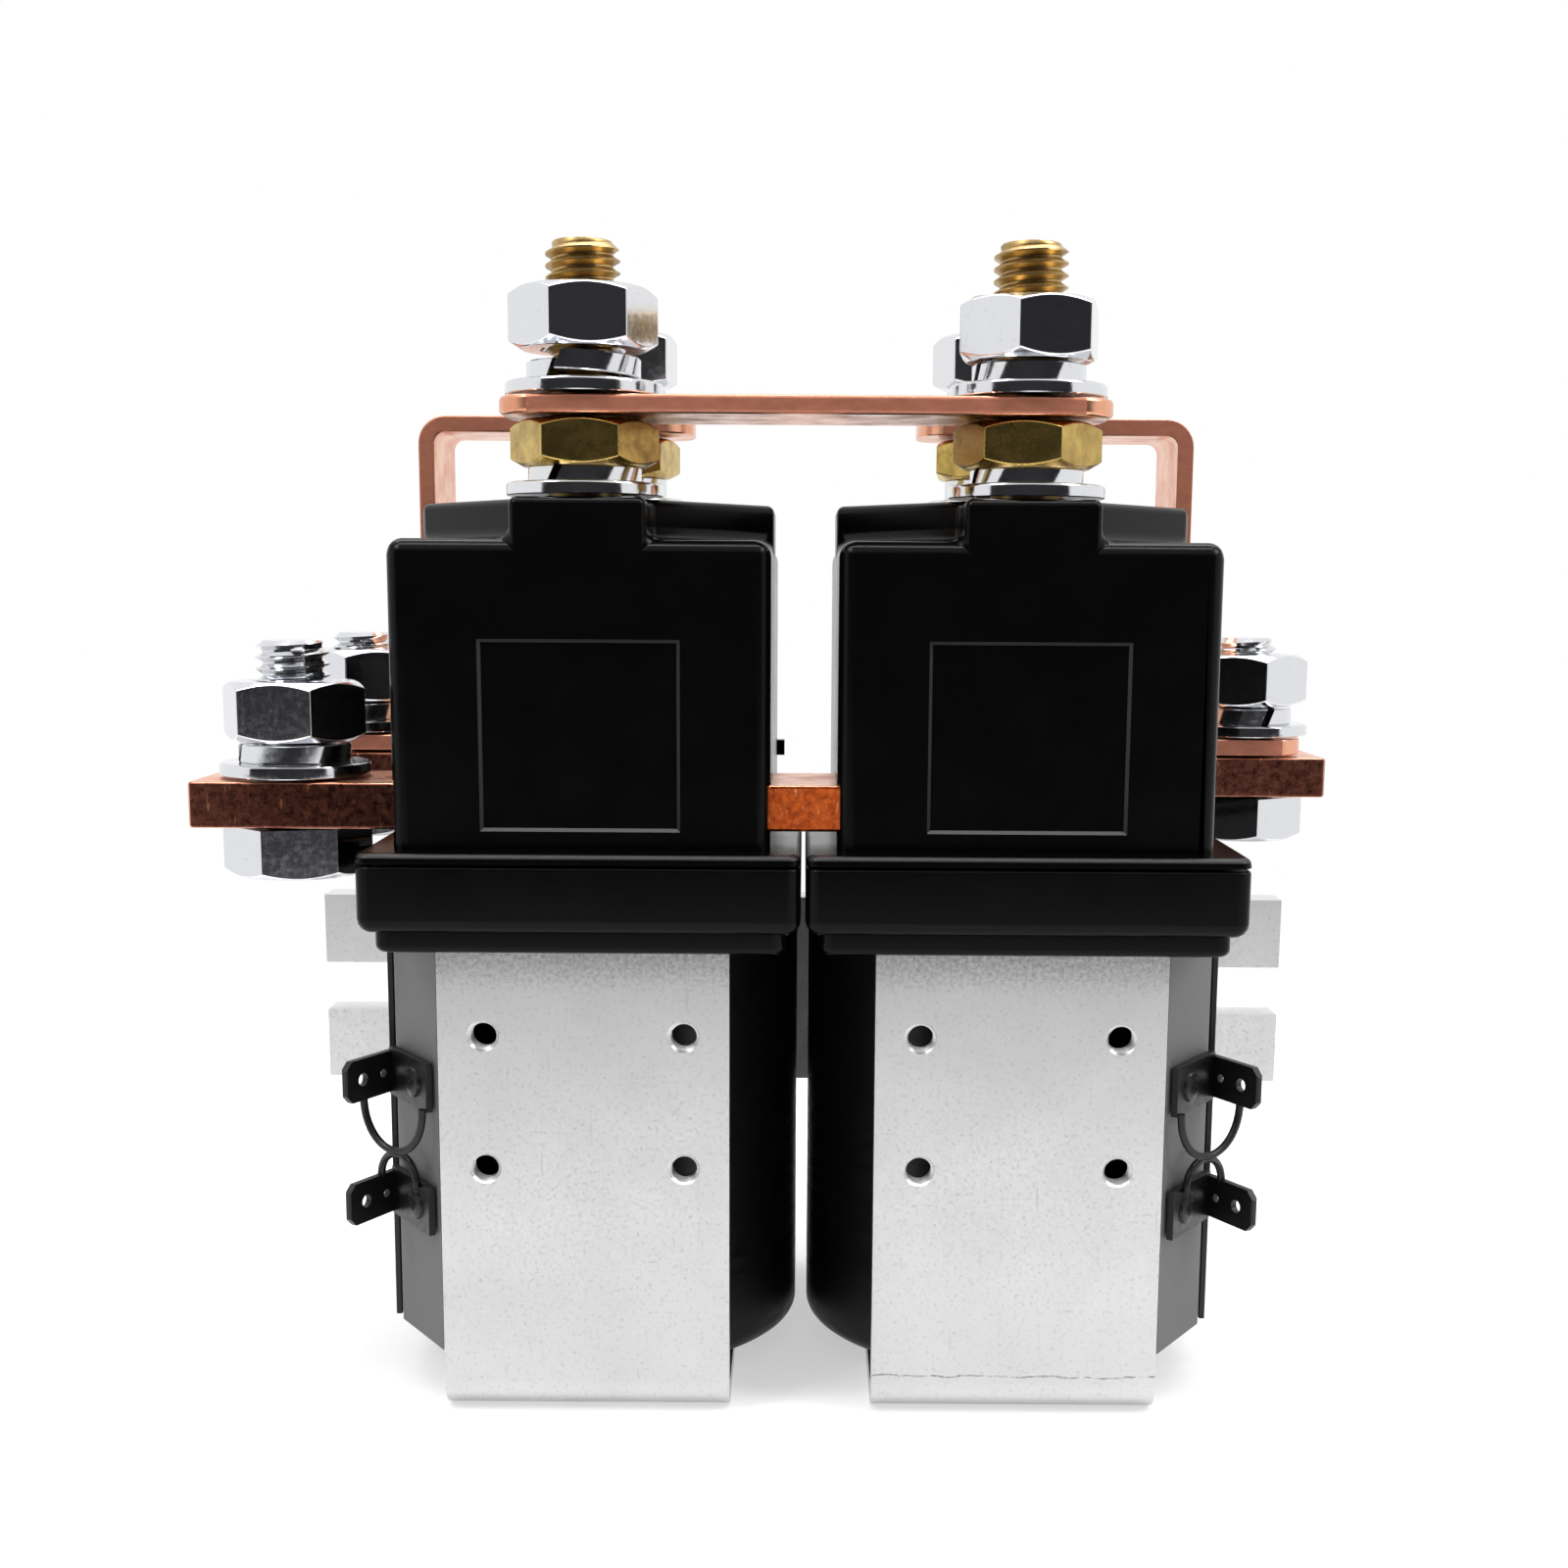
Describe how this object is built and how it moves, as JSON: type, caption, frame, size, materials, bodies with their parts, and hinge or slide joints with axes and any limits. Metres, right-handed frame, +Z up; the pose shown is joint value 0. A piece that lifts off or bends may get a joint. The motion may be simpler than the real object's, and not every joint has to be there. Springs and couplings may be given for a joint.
{
  "type": "contactor",
  "caption": "Reversing DC contactor: paired black contact housings on coil yokes, with stud terminals, copper link bars and a slotted steel mounting bracket.",
  "frame": {"origin": "midway between the two magnet yokes, on the plane of their undersides", "axes": "+Z up through the studs, +X to the right along the bracket, +Y towards the mounting bracket at the back"},
  "size_m": [0.133, 0.0648, 0.1286],
  "materials": {
    "black_moulding": "satin black moulding",
    "zinc_plated_sheet": "zinc-plated, fine scratches",
    "zinc_fasteners": "bright zinc plate",
    "bracket_steel": "zinc-plated flat bar",
    "coil_tape": "black wound tape",
    "soft_iron": "machined",
    "copper": "bare copper, sawn ends",
    "brass": "machined brass",
    "spring_steel": "drawn wire",
    "grey_board": "grey fibre board",
    "black_sheet": "dull black"
  },
  "bodies": {
    "housings_and_frame": {"base_left": "black_moulding", "base_right": "black_moulding", "bracket": "bracket_steel", "coil_left": "coil_tape", "coil_right": "coil_tape", "coil_tab_lower_left": "black_sheet", "coil_tab_lower_right": "black_sheet", "coil_tab_upper_left": "black_sheet", "coil_tab_upper_right": "black_sheet", "cover_left": "black_moulding", "cover_right": "black_moulding", "fixed_core_left": "soft_iron", "fixed_core_right": "soft_iron", "link_bar": "copper", "lower_bar_front": "copper", "lower_bar_rear_left": "copper", "lower_bar_rear_right": "copper", "magnet_plate_left": "zinc_plated_sheet", "magnet_plate_right": "zinc_plated_sheet", "return_spring_left": "spring_steel", "return_spring_right": "spring_steel", "side_insulator_left": "black_sheet", "side_insulator_right": "black_sheet", "strap_left": "copper", "strap_right": "copper", "stud_front_left": "brass", "stud_front_right": "brass", "stud_rear_left": "brass", "stud_rear_right": "brass", "stud_seat_front_left": "brass", "stud_seat_front_right": "brass", "stud_seat_rear_left": "brass", "stud_seat_rear_right": "brass", "terminal_board_left": "grey_board", "terminal_board_right": "grey_board", "terminal_bolt_front": "zinc_fasteners", "terminal_bolt_rear_left": "zinc_fasteners", "terminal_bolt_rear_right": "zinc_fasteners", "terminal_nut_front": "zinc_fasteners", "terminal_nut_rear_left": "zinc_fasteners", "terminal_nut_rear_right": "zinc_fasteners", "terminal_washers_front": "zinc_fasteners", "terminal_washers_rear_left": "zinc_fasteners", "terminal_washers_rear_right": "zinc_fasteners", "top_nut_front_left": "zinc_fasteners", "top_nut_front_right": "zinc_fasteners", "top_nut_rear_left": "zinc_fasteners", "top_nut_rear_right": "zinc_fasteners", "top_washers_front_left": "zinc_fasteners", "top_washers_front_right": "zinc_fasteners", "top_washers_rear_left": "zinc_fasteners", "top_washers_rear_right": "zinc_fasteners", "yoke_left": "zinc_plated_sheet", "yoke_right": "zinc_plated_sheet"},
    "armature_left": {"plunger_left": "soft_iron", "contact_spring_left": "spring_steel"},
    "bridge_left": {"contact_bridge_left": "copper"},
    "armature_right": {"plunger_right": "soft_iron", "contact_spring_right": "spring_steel"},
    "bridge_right": {"contact_bridge_right": "copper"}
  },
  "joints": [
    {"name": "armature_left_slide", "type": "slide", "parent": "housings_and_frame", "child": "armature_left", "axis": [0, 0, 1], "range_m": [0, 0.004], "stiffness_N_per_m": 800, "springref_m": -0.005, "deforming": ["return_spring_left"]},
    {"name": "bridge_left_slide", "type": "slide", "parent": "armature_left", "child": "bridge_left", "axis": [0, 0, 1], "range_m": [-0.001, 0], "deforming": ["contact_spring_left"]},
    {"name": "armature_right_slide", "type": "slide", "parent": "housings_and_frame", "child": "armature_right", "axis": [0, 0, 1], "range_m": [0, 0.004], "stiffness_N_per_m": 800, "springref_m": -0.005, "deforming": ["return_spring_right"]},
    {"name": "bridge_right_slide", "type": "slide", "parent": "armature_right", "child": "bridge_right", "axis": [0, 0, 1], "range_m": [-0.001, 0], "deforming": ["contact_spring_right"]}
  ],
  "couplings": [
    {"joint": "bridge_left_slide", "follows": "armature_left_slide", "ratio": -0.25},
    {"joint": "bridge_right_slide", "follows": "armature_right_slide", "ratio": -0.25}
  ]
}
